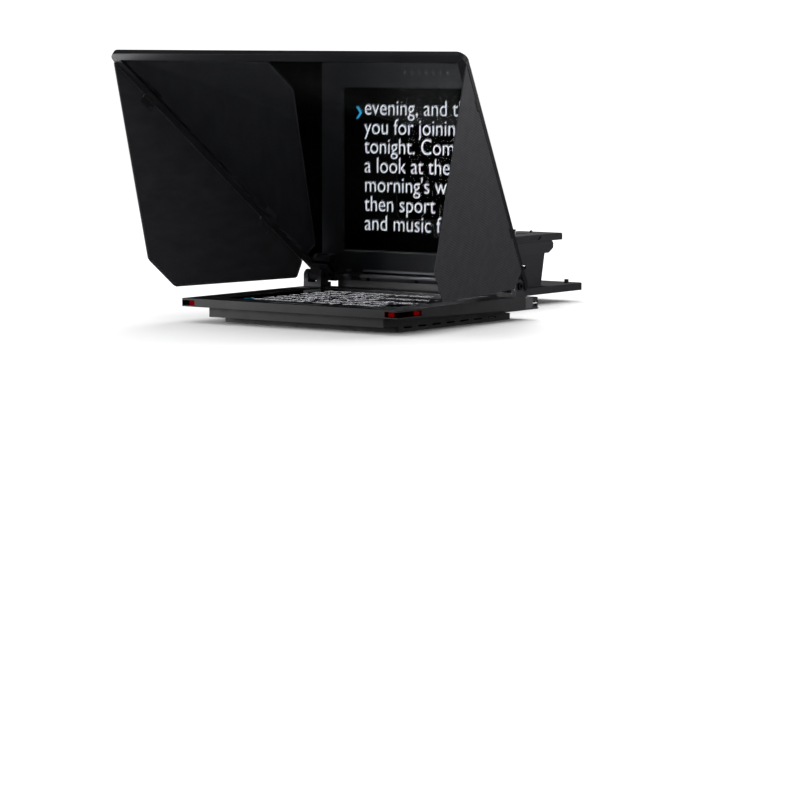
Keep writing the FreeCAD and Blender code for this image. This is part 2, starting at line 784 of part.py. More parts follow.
def half_width_at(v):
    return wing_top_half - frame_slope * (wing_top_v - v)


def frame_corners(inset):
    """The trapezoid's corners moved inward: top right, bottom right, bottom left, top left."""
    spread = inset * math.sqrt(1 + frame_slope ** 2)
    top = frame_top_v - inset
    bottom = frame_bottom_v + inset
    high = half_width_at(top) - spread
    low = half_width_at(bottom) - spread
    return [(high, top), (low, bottom), (-low, bottom), (-high, top)]


def frame_rail(first):
    """Mitred rail between two neighbouring corners, with the glass groove cut in it."""
    second = (first + 1) % 4
    outer = frame_corners(0)
    inner = frame_corners(rail_width)
    outline = [outer[first], outer[second], inner[second], inner[first]]
    rail = plan(outline, frame_rear_m, frame_front_m)
    rounded = plan(outer, frame_rear_m - 1, frame_front_m + 1)
    rounded = fillet_along(rounded, "Z", frame_corner_r, lambda p: p.y > frame_top_v - 1)
    rail = rail.common(rounded)
    edge = frame_corners(glass_inset - groove_gap)
    groove = plan(edge, mirror_m - glass_thickness - groove_gap, mirror_m + groove_gap)
    holes = [rod((side * x, v, -17.7), (0, 0, 1), 2.15, 5) for side in (-1, 1)
             for x, v in arm_screw_places()]
    lock = lock_screw_rod(1.85, 7.0, 9.0)
    return carve(rail, [groove, lock, mirrored(lock)] + holes)


def light_lip():
    """Plate that hangs from the bottom rail's lowest edge and closes the gap above the monitor."""
    slant = math.sqrt(0.5)
    edge_y = pivot_y - slant * (frame_bottom_v + frame_front_m)
    edge_z = pivot_z + slant * (frame_bottom_v - frame_front_m)
    front = edge_y - light_lip_thickness + 0.5
    return box(-light_lip_half, light_lip_half, front, front + light_lip_thickness,
               height(light_lip_bottom), edge_z + light_lip_thickness)


def beam_splitter_glass():
    return plan(frame_corners(glass_inset), mirror_m - glass_thickness, mirror_m)


def glass_retaining_bar():
    bar = box(-127, 127, -20, -8, frame_front_m, -9.2)
    bar = fillet_along(bar, "X", 2.6, lambda p: p.z > -9.3)
    holes = [rod((x, -14, -20), (0, 0, 1), 2.0, 12) for x in (-110, 0, 110)]
    return carve(bar, holes)


def glass_clips():
    clips = []
    for x in (-160, 160):
        clip = box(x - 6, x + 6, -20, -9, frame_front_m, -10.4)
        clips.append(fillet_along(clip, "X", 1.4, lambda p: p.z > -10.5))
    return group(clips)


def hood_arm():
    """Right hinge arm: a foot on the frame, a web and an eye on the pivot."""
    inner = bracket_inner + ear_thickness + arm_gap
    outer = bracket_outer - ear_thickness - arm_gap
    foot_top = frame_front_m + foot_thickness
    reach = half_width_at(-28) - 4.0
    foot = plan([(192, -28), (reach, -28), (half_width_at(16) - 5.0, 16), (192, 16)], frame_front_m, foot_top)
    web = box(inner, outer, -eye_radius, eye_radius, foot_top - 0.5, 0)
    eye = rod((inner, 0, 0), (1, 0, 0), eye_radius, outer - inner)
    bore = rod((inner - 1, 0, 0), (1, 0, 0), pin_radius + pin_clearance, outer - inner + 2)
    holes = [rod((x, v, frame_front_m - 1), (0, 0, 1), 2.2, 6) for x, v in arm_screw_places()]
    return carve(join([foot, web, eye]), [bore] + holes)


def arm_screw_places():
    return [(198, -22), (198, -12), (224, -22)]


def hood_screws():
    """Screws of the hinge arms and of the glass retaining bar."""
    top = frame_front_m + foot_thickness
    arms = [cap_screw((side * x, v, top), (0, 0, -1), 2.1, 5.2, 3.6, 2.2)
            for side in (-1, 1) for x, v in arm_screw_places()]
    bar = [cap_screw((x, -14, -9.2), (0, 0, -1), 1.95, 6.0, 3.4, 1.6) for x in (-110, 0, 110)]
    return group(arms + bar)


def lock_screw_rod(radius, inside, length):
    """Cylinder square to the right side rail that starts this far inside its outer edge."""
    v = 26.0
    way = Vector(1, -frame_slope, 0).normalize()
    edge = Vector(half_width_at(v), v, -22.6)
    return Part.makeCylinder(radius, length, edge - way * inside, way)


def lock_screw():
    """Bright thumb screw in the right side rail."""
    return join([lock_screw_rod(1.8, 6.5, 8.0), lock_screw_rod(3.6, -0.3, 5.0)])


def shroud_ring(shrink):
    """Corners of the shroud at the frame and round the lens, in the order of frame_corners."""
    m = frame_rear_m - 0.3
    near = [Vector(x, v, m) for x, v in frame_corners(4.0 + shrink)]
    far = []
    slant = math.sqrt(0.5)
    dy = lens_depth - pivot_depth
    for side, high in ((1, True), (1, False), (-1, False), (-1, True)):
        rise = lens_high_h - shrink if high else lens_low_h + shrink
        dz = rise - pivot_height
        far.append(Vector(side * (lens_half_width - shrink), (dz - dy) * slant, -(dz + dy) * slant))
    return near, far


def gore(places):
    """Flat piece of the shroud's cloth between these corners, given as (at the lens, corner)."""
    faces = []
    for shrink in (0.0, shroud_wall):
        rings = shroud_ring(shrink)
        corners = [rings[at_lens][corner] for at_lens, corner in places]
        faces.append(Part.makePolygon(corners + [corners[0]]))
    return Part.makeLoft(faces, True, True)


def rear_shroud():
    """Top and bottom gores are flat, and each side is two triangles, so every gore is convex."""
    bottom = gore([(0, 1), (0, 2), (1, 2), (1, 1)])
    top = gore([(0, 3), (0, 0), (1, 0), (1, 3)])
    right = [gore([(0, 0), (0, 1), (1, 1)]), gore([(0, 0), (1, 1), (1, 0)])]
    left = [gore([(0, 3), (1, 2), (0, 2)]), gore([(0, 3), (1, 3), (1, 2)])]
    return group([bottom, top] + right + left)


def shroud_hem():
    """Elastic hem that closes the shroud round the lens."""
    half = lens_half_width
    y0 = depth(lens_depth)
    z0 = height(lens_low_h)
    z1 = height(lens_high_h)
    outer = box(-half, half, y0 + 0.3, y0 + 8.3, z0, z1)
    outer = fillet_along(outer, "Y", 8.0)
    inner = box(-half + 5, half - 5, y0 - 1, y0 + 10, z0 + 5, z1 - 5)
    inner = fillet_along(inner, "Y", 5.0)
    return outer.cut(inner)


# ---- side wings -----------------------------------------------------------------------------

rail_cos = 1 / math.sqrt(1 + frame_slope ** 2)
rail_sin = frame_slope * rail_cos


def wing_place(opened):
    """Placement of the right wing: its X runs down the rail, its Y away from the glass."""
    down = Vector(-rail_sin, -rail_cos, 0)
    inward = Vector(-rail_cos, rail_sin, 0)
    turn = math.radians(opened)
    out = Vector(0, 0, 1) * math.sin(turn) + inward * math.cos(turn)
    start = Vector(wing_top_half, wing_top_v, 0) + inward * wing_axis_u
    start = start + Vector(0, 0, mirror_m + wing_axis_n)
    return Placement(start, Rotation(down, out, down.cross(out), "XYZ"))


def hang(shape, opened=wing_open_angle):
    placed = shape.copy()
    placed.Placement = hood_place.multiply(wing_place(opened)).multiply(placed.Placement)
    return placed


wing_outline = [(1.5, wing_edge_b), (263.0, 239.6), (270.0, 241.0), (336.0, 241.0), (343.0, 238.6),
                (548.5, 37.5), (551.0, 32.5), (546.0, 8.0), (543.5, wing_edge_b)]


def hinge_notches(reach):
    half = hinge_length / 2 + 0.5
    return [box(a - half, a + half, -5, reach, -6, 6) for a in hinge_places]


def wing_panel():
    t0, t1 = wing_sheet
    sheet = plan(wing_outline, t0, t1)
    return carve(sheet, hinge_notches(2.8))


def wing_lining():
    t1 = wing_sheet[1]
    inset = [(a * 0.985 + 4.5, b * 0.97 + 2.5) for a, b in wing_outline]
    sheet = plan(inset, t1, t1 + lining_thickness)
    return carve(sheet, hinge_notches(16.5))


def wing_hinge_leaves():
    leaves = []
    t1 = wing_sheet[1]
    for a in hinge_places:
        half = hinge_length / 2
        leaf = box(a - half, a + half, 2.8, 16.0, t1, t1 + leaf_thickness)
        root = box(a - 4.7, a + 4.7, 0.0, 3.0, t1, t1 + leaf_thickness)
        knuckle = rod((a - 4.7, 0, 0), (1, 0, 0), knuckle_radius, 9.4)
        bore = rod((a - 6, 0, 0), (1, 0, 0), wing_pin_radius + pin_clearance, 12)
        leaves.append(carve(join([leaf, root, knuckle]), [bore]))
    return group(leaves)


def wing_hinge_plates():
    """Fixed halves of the wing hinges, drawn with the wing's axes held square to the glass."""
    plates = []
    lip = -(wing_axis_n - (frame_front_m - mirror_m))
    for a in hinge_places:
        half = hinge_length / 2
        leaf = box(a - half, a + half, lip, lip + 0.8, 0.6, 12.0)
        pieces = [leaf.cut(box(a - 5, a + 5, lip - 1, 0, 0, 3.0))]
        for low in (a - half, a + half - 9.0):
            pieces.append(rod((low, 0, 0), (1, 0, 0), knuckle_radius, 9.0))
            pieces.append(box(low, low + 9.0, lip, 0.0, 0.6, knuckle_radius))
        bore = rod((a - half - 1, 0, 0), (1, 0, 0), wing_pin_radius, hinge_length + 2)
        plates.append(carve(join(pieces), [bore]))
    return group(plates)


def wing_hinge_pins():
    return group([rod((a - hinge_length / 2, 0, 0), (1, 0, 0), wing_pin_radius, hinge_length)
                  for a in hinge_places])


# ---- write every piece ----------------------------------------------------------------------

save("monitor_bezel", monitor_bezel())
save("screen_cover_glass", screen_cover_glass())
save("lcd_panel", panel_layer(-3.3, -5.1, 10.0))
save("backlight", backlight())
save("monitor_case", monitor_case())
save("tally_lenses", group([tally_lens(), mirrored(tally_lens())]))
save("tally_leds", tally_leds())
save("button_board", button_board())
for number, place in enumerate(button_places(), start=1):
    save("menu_button_%d" % number, menu_button(place))

save("electronics_housing", electronics_housing())
save("controller_board", controller_board())
save("power_board", power_board())
save("connector_cover", connector_cover())
save("bnc_connectors", bnc_connectors())
save("network_jacks", network_jacks())
save("power_inlet", power_inlet())
save("connector_guard", connector_guard())

save("base_tray", base_tray())
save("mount_block", mount_block())
save("rear_plate", rear_plate())
save("end_stop_screws", end_stop_screws())
save("m8_bolts", m8_bolts())
save("m6_bolts", m6_bolts())
save("tray_screws", tray_screws())
save("riser", riser())
save("riser_head", riser_head())
save("camera_plate", camera_plate())
save("camera_screw", camera_screw())
save("locating_pin", locating_pin())
save("clamp_lever", clamp_lever())

save_pair("hinge_bracket", hinge_bracket())
save("hinge_pins", group([hinge_pin(), mirrored(hinge_pin())]))

for corner, rail_name in enumerate(("right_rail", "bottom_rail", "left_rail", "top_rail")):
    rail = tilt(frame_rail(corner))
    save(rail_name, join([rail, light_lip()]) if rail_name == "bottom_rail" else rail)
save("beam_splitter_glass", tilt(beam_splitter_glass()))
save("glass_retaining_bar", tilt(glass_retaining_bar()))
save("hood_screws", tilt(hood_screws()))
save("glass_clips", tilt(glass_clips()))
save_pair("hood_arm", tilt(hood_arm()))
lock_set = tilt(lock_screw())
save("lock_screws", group([lock_set, mirrored(lock_set)]))
save("rear_shroud", tilt(rear_shroud()))
save("shroud_hem", shroud_hem())

save_pair("wing_panel", hang(wing_panel()))
save_pair("wing_lining", hang(wing_lining()))
save_pair("wing_hinge_leaves", hang(wing_hinge_leaves()))
plate_set = hang(wing_hinge_plates(), 90.0)
pin_set = hang(wing_hinge_pins(), 90.0)
save("wing_hinge_plates", group([plate_set, mirrored(plate_set)]))
save("wing_hinge_pins", group([pin_set, mirrored(pin_set)]))
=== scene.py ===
"""Looks of the camera teleprompter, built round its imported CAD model. Lengths are in metres."""

import json
import math
import random

import bmesh
import bpy
from mathutils import Matrix, Vector, noise


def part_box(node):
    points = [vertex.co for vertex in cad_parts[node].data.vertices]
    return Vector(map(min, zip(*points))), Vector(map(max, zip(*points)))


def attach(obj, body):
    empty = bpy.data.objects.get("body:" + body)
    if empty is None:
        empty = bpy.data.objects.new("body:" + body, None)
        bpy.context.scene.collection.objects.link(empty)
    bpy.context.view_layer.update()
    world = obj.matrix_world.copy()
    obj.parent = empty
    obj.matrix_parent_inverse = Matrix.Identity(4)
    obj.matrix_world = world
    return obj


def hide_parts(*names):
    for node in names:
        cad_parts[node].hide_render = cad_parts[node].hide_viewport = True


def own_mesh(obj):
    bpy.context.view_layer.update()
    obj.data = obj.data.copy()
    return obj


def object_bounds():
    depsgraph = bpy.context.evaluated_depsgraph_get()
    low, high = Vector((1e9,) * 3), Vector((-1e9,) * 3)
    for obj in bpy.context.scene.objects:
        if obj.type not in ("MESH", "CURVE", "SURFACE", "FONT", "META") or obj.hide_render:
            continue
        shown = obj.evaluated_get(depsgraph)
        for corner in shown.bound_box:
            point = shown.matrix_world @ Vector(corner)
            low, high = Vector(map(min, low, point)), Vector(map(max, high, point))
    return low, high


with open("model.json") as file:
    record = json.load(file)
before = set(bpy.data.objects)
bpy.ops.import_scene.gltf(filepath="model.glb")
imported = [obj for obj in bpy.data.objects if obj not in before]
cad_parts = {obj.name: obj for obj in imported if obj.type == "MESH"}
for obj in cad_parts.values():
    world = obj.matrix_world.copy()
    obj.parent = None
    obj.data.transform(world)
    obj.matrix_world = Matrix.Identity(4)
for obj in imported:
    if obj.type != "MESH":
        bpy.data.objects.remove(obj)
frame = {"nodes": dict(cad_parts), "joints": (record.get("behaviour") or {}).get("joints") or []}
cad_low, cad_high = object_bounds()
nodes = frame["nodes"]
joints = {joint["name"]: joint for joint in frame["joints"]}

# ---- places taken from the frame ------------------------------------------------------------

slab_low, slab_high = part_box("monitor_bezel")
slope = math.sqrt(0.5)
hood_pivot = Vector(joints["hood_fold"]["pos_m"])
up_glass = Vector((0, -slope, slope))
off_glass = Vector((0, -slope, -slope))      # from the glass towards the reader
wing_hinge = Vector(joints["right_wing_fold"]["pos_m"])
wing_down = Vector(joints["right_wing_fold"]["axis"]).normalized()
wing_inward = off_glass.cross(wing_down).normalized()
if wing_inward.x > 0:
    wing_inward = -wing_inward


def on_monitor(x, depth, rise):
    """Place right of the monitor's middle, behind its front edge and above its top."""
    return Vector((x, slab_low.y + depth, slab_high.z + rise))


# ---- materials ------------------------------------------------------------------------------

mix_first, mix_second, mix_result = 6, 7, 2     # colour sockets of a Mix node


class Finish:
    """A Principled material, and the pattern nodes that feed it."""

    def __init__(self, name, colour, roughness, **values):
        self.material = bpy.data.materials.new(name)
        self.material.use_nodes = True
        self.material.diffuse_color = (*colour, 1)
        self.tree = self.material.node_tree
        self.shader = self.tree.nodes["Principled BSDF"]
        self.place = self.add("ShaderNodeTexCoord").outputs["Object"]
        self.colour = colour
        self.set("Base Color", (*colour, 1))
        self.set("Roughness", roughness)
        for key, value in values.items():
            self.set(key.replace("_", " "), value)
        self.normal = None

    def add(self, kind, **settings):
        node = self.tree.nodes.new(kind)
        for key, value in settings.items():
            setattr(node, key, value)
        return node

    def set(self, socket, value):
        self.shader.inputs[socket].default_value = value

    def feed(self, socket, value):
        """Puts a link or a plain value in a node's input."""
        if isinstance(value, bpy.types.NodeSocket):
            self.tree.links.new(value, socket)
        else:
            socket.default_value = value

    def math(self, operation, first, second=0.0, clamp=False):
        node = self.add("ShaderNodeMath", operation=operation, use_clamp=clamp)
        self.feed(node.inputs[0], first)
        self.feed(node.inputs[1], second)
        return node.outputs[0]

    def along(self, direction):
        """Distance along a direction, in metres."""
        node = self.add("ShaderNodeVectorMath", operation="DOT_PRODUCT")
        self.feed(node.inputs[0], self.place)
        node.inputs[1].default_value = direction
        return node.outputs["Value"]

    def noise(self, scale, detail=3.0, stretch=None):
        place = self.place
        if stretch:
            mapping = self.add("ShaderNodeMapping")
            mapping.inputs["Scale"].default_value = stretch
            self.feed(mapping.inputs["Vector"], place)
            place = mapping.outputs[0]
        node = self.add("ShaderNodeTexNoise")
        node.inputs["Scale"].default_value = scale
        node.inputs["Detail"].default_value = detail
        self.feed(node.inputs["Vector"], place)
        return node.outputs["Fac"]

    def spread(self, value, low, high, start=0.3, end=0.7):
        """Maps a pattern's middle range to low and high."""
        node = self.add("ShaderNodeMapRange")
        self.feed(node.inputs["Value"], value)
        node.inputs["From Min"].default_value = start
        node.inputs["From Max"].default_value = end
        node.inputs["To Min"].default_value = low
        node.inputs["To Max"].default_value = high
        return node.outputs[0]

    def blend(self, share, first, second):
        node = self.add("ShaderNodeMix", data_type="RGBA")
        self.feed(node.inputs["Factor"], share)
        for number, value in ((mix_first, first), (mix_second, second)):
            self.feed(node.inputs[number], (*value, 1) if isinstance(value, tuple) else value)
        return node.outputs[mix_result]

    def tint(self, share, factor):
        """Base colour that goes towards factor times itself where share is 1."""
        other = tuple(min(1.0, c * factor) for c in self.colour)
        self.feed(self.shader.inputs["Base Color"], self.blend(share, self.colour, other))

    def rough(self, pattern, low, high):
        self.feed(self.shader.inputs["Roughness"], self.spread(pattern, low, high))

    def bump(self, height, strength, distance):
        node = self.add("ShaderNodeBump")
        node.inputs["Strength"].default_value = strength
        node.inputs["Distance"].default_value = distance
        self.feed(node.inputs["Height"], height)
        if self.normal:
            self.feed(node.inputs["Normal"], self.normal)
        self.normal = node.outputs[0]
        self.feed(self.shader.inputs["Normal"], self.normal)


def powder_coat(name, colour, roughness, grain=2600.0, depth=0.00005):
    """Satin paint with a fine orange peel, faint handling marks and dust."""
    finish = Finish(name, colour, roughness)
    smear = finish.noise(14.0, 4.0)
    finish.tint(finish.spread(smear, 0, 1), 1.35)
    finish.rough(finish.noise(46.0, 5.0), roughness - 0.06, roughness + 0.07)
    finish.bump(finish.noise(grain, 1.5), 0.35, depth)
    finish.bump(finish.noise(320.0, 2.0), 0.12, 0.0001)
    return finish.material


def anodised(name, colour, roughness, stretch):
    """Anodised aluminium with fine brushing along one axis."""
    finish = Finish(name, colour, roughness, Metallic=0.35)
    finish.tint(finish.spread(finish.noise(9.0, 3.0), 0, 1), 1.3)
    brushing = finish.noise(900.0, 3.0, stretch)
    finish.rough(brushing, roughness - 0.07, roughness + 0.07)
    finish.bump(brushing, 0.18, 0.00004)
    return finish.material


def moulded(name, colour, roughness, grain=1500.0):
    """Injection moulded plastic with a spark-eroded grain."""
    finish = Finish(name, colour, roughness)
    finish.tint(finish.spread(finish.noise(20.0, 3.0), 0, 1), 1.25)
    finish.rough(finish.noise(120.0, 3.0), roughness - 0.05, roughness + 0.06)
    finish.bump(finish.noise(grain, 2.0), 0.4, 0.00008)
    return finish.material


def metal(name, colour, roughness, scratch=700.0):
    finish = Finish(name, colour, roughness, Metallic=1.0)
    finish.tint(finish.spread(finish.noise(60.0, 4.0), 0, 1), 0.8)
    finish.rough(finish.noise(scratch, 4.0, (1, 1, 0.15)), roughness - 0.06, roughness + 0.08)
    finish.bump(finish.noise(scratch * 2, 2.0, (1, 1, 0.1)), 0.1, 0.00003)
    return finish.material


def woven_composite(name, pitch=0.00145, lean=math.radians(29)):
    """Two-over-two twill of carbon tows under a satin resin, in the plane of the wings; where the warp tows
    lie on top the colour is lighter, a painted sheen.
    """
    finish = Finish(name, (0.040, 0.040, 0.047), 0.42)
    finish.set("Coat Weight", 0.12)
    finish.set("Coat Roughness", 0.35)
    warp = finish.math("DIVIDE", finish.along((0, math.cos(lean), math.sin(lean))), pitch)
    weft = finish.math("DIVIDE", finish.along((0, math.sin(lean), -math.cos(lean))), pitch)
    step = finish.math("SUBTRACT", finish.math("FLOOR", warp), finish.math("FLOOR", weft))
    turn = finish.math("FLOORED_MODULO", step, 4.0)
    over = finish.math("LESS_THAN", turn, 1.5)
    tow_a = finish.math("ABSOLUTE", finish.math("SINE", finish.math("MULTIPLY", warp, math.pi)))
    tow_b = finish.math("ABSOLUTE", finish.math("SINE", finish.math("MULTIPLY", weft, math.pi)))
    raised = finish.math("MULTIPLY", over, tow_a)
    sunk = finish.math("MULTIPLY", finish.math("SUBTRACT", 1.0, over), tow_b)
    height = finish.math("ADD", raised, finish.math("MULTIPLY", sunk, 0.8))
    # Painted sheen: the same black tows are coloured lighter where the warp lies on top than where the weft
    # does.
    painted_tow_sheen = finish.blend(over, (0.010, 0.010, 0.013), (0.046, 0.046, 0.053))
    cloudy = finish.spread(finish.noise(7.0, 3.0), 0.0, 0.2)
    finish.feed(finish.shader.inputs["Base Color"], finish.blend(cloudy, painted_tow_sheen, (0.032, 0.032, 0.037)))
    finish.rough(finish.noise(60.0, 4.0), 0.38, 0.5)
    finish.bump(height, 0.45, 0.00012)
    return finish.material


def flock(name):
    """Short light-trapping pile glued to the inside of the wings."""
    finish = Finish(name, (0.0135, 0.0135, 0.0165), 0.95)
    finish.set("Sheen Weight", 0.10)
    finish.set("Sheen Roughness", 0.45)
    finish.set("Specular IOR Level", 0.15)
    nap = finish.noise(38.0, 5.0, (1.0, 0.5, 1.4))
    speck = finish.noise(1300.0, 2.0)
    mixed = finish.blend(finish.spread(nap, 0, 1), (0.0105, 0.0105, 0.0128), (0.0180, 0.0180, 0.0215))
    finish.feed(finish.shader.inputs["Base Color"],
                finish.blend(finish.spread(speck, 0.0, 0.7, 0.45, 0.75), mixed, (0.026, 0.026, 0.030)))
    finish.bump(speck, 0.7, 0.0003)
    finish.bump(nap, 0.25, 0.0008)
    return finish.material


cloth_layer = "cloth"              # UV layer in metres along the cloth


def cloth(name, colour, pitch, sheen=0.25):
    """Plain weave: threads cross over and under along and across the piece."""
    finish = Finish(name, colour, 0.9)
    finish.set("Sheen Weight", sheen)
    finish.set("Sheen Roughness", 0.4)
    finish.set("Specular IOR Level", 0.2)
    place = finish.add("ShaderNodeUVMap", uv_map=cloth_layer).outputs[0]
    parts = finish.add("ShaderNodeSeparateXYZ")
    finish.feed(parts.inputs[0], place)
    across = finish.math("MULTIPLY", parts.outputs[0], math.pi / pitch)
    along = finish.math("MULTIPLY", parts.outputs[1], math.pi / pitch)
    threads = finish.math("MULTIPLY", finish.math("SINE", across), finish.math("SINE", along))
    height = finish.math("ABSOLUTE", threads)
    slub = finish.noise(90.0, 4.0)
    mixed = finish.blend(finish.spread(slub, 0, 1), colour, tuple(c * 1.6 for c in colour))
    dark = tuple(c * 0.55 for c in colour)
    finish.feed(finish.shader.inputs["Base Color"], finish.blend(height, mixed, dark))
    finish.bump(height, 0.5, 0.0002)
    finish.bump(slub, 0.3, 0.0008)
    return finish.material


mirror_share = 0.42               # how much of the coating's light is reflected


def beam_splitter():
    """Clear glass whose front face has the half mirror coating."""
    finish = Finish("half_mirror_glass", (0.93, 0.95, 0.97), 0.0)
    finish.set("Transmission Weight", 1.0)
    finish.set("IOR", 1.5)
    facing = finish.add("ShaderNodeTexCoord").outputs["Normal"]
    toward = finish.add("ShaderNodeVectorMath", operation="DOT_PRODUCT")
    finish.feed(toward.inputs[0], facing)
    toward.inputs[1].default_value = off_glass
    coated = finish.math("GREATER_THAN", toward.outputs["Value"], 0.5)
    finish.feed(finish.shader.inputs["Metallic"], finish.math("MULTIPLY", coated, mirror_share))
    wipe = finish.noise(5.0, 4.0, (1.0, 3.0, 3.0))
    finish.feed(finish.shader.inputs["Roughness"], finish.spread(wipe, 0.0, 0.012))
    return finish.material


def clear_glass(name, colour, roughness, index=1.45):
    """Clear or tinted sheet; a low index stands for an anti-reflection coating."""
    finish = Finish(name, colour, roughness)
    finish.set("Transmission Weight", 1.0)
    finish.set("IOR", index)
    finish.feed(finish.shader.inputs["Roughness"],
                finish.spread(finish.noise(30.0, 4.0), roughness, roughness + 0.02))
    return finish.material


def panel_black():
    """Polariser of the panel: deep black with a trace of its pixel grid."""
    finish = Finish("panel_black", (0.0012, 0.0012, 0.0014), 0.3)
    finish.set("Specular IOR Level", 0.0)
    grid = finish.noise(3400.0, 1.0, (1.0, 1.0, 0.1))
    finish.tint(finish.spread(grid, 0, 1), 1.8)
    finish.bump(grid, 0.05, 0.00002)
    return finish.material


def glow(name, colour, strength, waver=0.12):
    """Lit surface with a slight unevenness."""
    finish = Finish(name, colour, 0.6)
    finish.set("Emission Color", (*colour, 1))
    finish.feed(finish.shader.inputs["Emission Strength"],
                finish.spread(finish.noise(160.0, 2.0), strength * (1 - waver), strength))
    return finish.material


def board(name):
    """Green solder mask with traces under it."""
    finish = Finish(name, (0.012, 0.075, 0.035), 0.35)
    cells = finish.add("ShaderNodeTexVoronoi", feature="DISTANCE_TO_EDGE", distance="MANHATTAN")
    cells.inputs["Scale"].default_value = 130.0
    finish.feed(cells.inputs["Vector"], finish.place)
    trace = finish.math("LESS_THAN", cells.outputs["Distance"], 0.06)
    finish.tint(trace, 2.2)
    finish.bump(trace, 0.3, 0.00005)
    finish.rough(finish.noise(50.0), 0.28, 0.42)
    return finish.material


finishes = {
    "monitor_black": powder_coat("monitor_paint", (0.0125, 0.0128, 0.0145), 0.40),
    "screen_glass": clear_glass("screen_cover", (0.98, 0.98, 1.0), 0.0, 1.06),
    "lcd": panel_black(),
    "backlight_white": moulded("backlight_film", (0.75, 0.75, 0.75), 0.5),
    "tally_tint": clear_glass("tally_window", (0.34, 0.03, 0.035), 0.05),
    "tally_red": glow("tally_red_led", (0.75, 0.02, 0.03), 0.55),
    "circuit_board": board("solder_mask"),
    "housing_black": powder_coat("housing_paint", (0.0150, 0.0152, 0.0172), 0.43),
    "cover_grey": moulded("cover_plastic", (0.040, 0.042, 0.046), 0.5),
    "connector_metal": metal("nickel", (0.74, 0.73, 0.70), 0.24),
    "anodised_black": anodised("black_anodising", (0.021, 0.021, 0.0245), 0.42, (1.0, 0.02, 1.0)),
    "knob_black": moulded("knob_plastic", (0.014, 0.014, 0.015), 0.45, 2400.0),
    "black_steel": metal("blackened_steel", (0.030, 0.030, 0.033), 0.36),
    "frame_black": anodised("rail_anodising", (0.0150, 0.0152, 0.0178), 0.36, (0.02, 1.0, 1.0)),
    "beam_splitter": beam_splitter(),
    # Bar colour is partly its own grey anodising and partly raised lighter as a painted highlight for the
    # light it catches.
    "bar_grey": anodised("bar_anodising_painted_highlight", (0.055, 0.055, 0.064), 0.36, (0.02, 1.0, 1.0)),
    "bright_steel": metal("bright_steel_plate", (0.82, 0.82, 0.84), 0.16),
    "shroud_cloth": cloth("shroud_weave", (0.0100, 0.0100, 0.0115), 0.0011),
    "shroud_elastic": cloth("elastic_rib", (0.0130, 0.0130, 0.0145), 0.0016, 0.35),
    "hinge_black": powder_coat("hinge_paint", (0.0115, 0.0115, 0.0135), 0.45),
    "wing_carbon": woven_composite("carbon_twill"),
    "wing_flock": flock("black_flock"),
    "button_grey": moulded("button_plastic", (0.022, 0.022, 0.024), 0.42, 2600.0),
}

for node in nodes.values():
    for index, packed in enumerate(node.data.materials):
        slot = packed.name.split(".")[0] if packed else None
        if slot in finishes:
            node.data.materials[index] = finishes[slot]


# ---- mesh helpers ---------------------------------------------------------------------------

def piece(name, mesh_data, body, slot, smooth=True, material=None):
    """Turns a bmesh or mesh into a piece that rides on a CAD body."""
    if isinstance(mesh_data, bmesh.types.BMesh):
        mesh = bpy.data.meshes.new(name)
        bmesh.ops.recalc_face_normals(mesh_data, faces=mesh_data.faces)
        mesh_data.to_mesh(mesh)
        mesh_data.free()
    else:
        mesh = mesh_data
    for face in mesh.polygons:
        face.use_smooth = smooth
    made = bpy.data.objects.new(name, mesh)
    bpy.context.scene.collection.objects.link(made)
    mesh.materials.clear()
    mesh.materials.append(material or finishes[slot])
    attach(made, body)
    return made


def add_prism(bm, outline, matrix, thickness):
    """Adds a flat plate with this outline; its normal is the matrix's Z."""
    low = [bm.verts.new(matrix @ Vector((x, y, 0))) for x, y in outline]
    high = [bm.verts.new(matrix @ Vector((x, y, thickness))) for x, y in outline]
    count = len(outline)
    bm.faces.new(list(reversed(low)))
    bm.faces.new(high)
    for i in range(count):
        j = (i + 1) % count
        bm.faces.new((low[i], low[j], high[j], high[i]))


def add_ring(bm, inner, outer, matrix, thickness, start=0.0, sweep=math.tau, steps=28):
    """Adds a flat ring, or part of one when sweep is less than a turn."""
    closed = sweep > math.tau - 1e-6
    turns = [start + sweep * i / steps for i in range(steps + (0 if closed else 1))]
    sections = []
    for turn in turns:
        way = Vector((math.cos(turn), math.sin(turn), 0))
        corners = [(inner, 0), (outer, 0), (outer, thickness), (inner, thickness)]
        sections.append([bm.verts.new(matrix @ (way * r + Vector((0, 0, z)))) for r, z in corners])
    last = len(sections) if closed else len(sections) - 1
    for i in range(last):
        one, two = sections[i], sections[(i + 1) % len(sections)]
        for k in range(4):
            bm.faces.new((one[k], two[k], two[(k + 1) % 4], one[(k + 1) % 4]))
    if not closed:
        bm.faces.new(sections[0])
        bm.faces.new(list(reversed(sections[-1])))


def add_screw(bm, matrix, radius, rise, steps=24):
    """Adds a low domed screw head with a hexagon socket; it stands along the matrix's Z."""
    def circle(r, z):
        return [bm.verts.new(matrix @ Vector((r * math.cos(t), r * math.sin(t), z))) for t in turns]

    def hexagon(r, z):
        ring = []
        for t in turns:
            reach = r * math.cos(math.pi / 6) / math.cos(t % (math.pi / 3) - math.pi / 6)
            ring.append(bm.verts.new(matrix @ Vector((reach * math.cos(t), reach * math.sin(t), z))))
        return ring

    turns = [math.tau * i / steps for i in range(steps)]
    rings = [circle(radius, 0), circle(radius, rise * 0.45), circle(radius * 0.9, rise * 0.85),
             circle(radius * 0.72, rise), hexagon(radius * 0.5, rise),
             hexagon(radius * 0.47, rise * 0.3)]
    for one, two in zip(rings, rings[1:]):
        for i in range(steps):
            j = (i + 1) % steps
            bm.faces.new((one[i], one[j], two[j], two[i]))
    bm.faces.new(list(reversed(rings[0])))
    bm.faces.new(rings[-1])


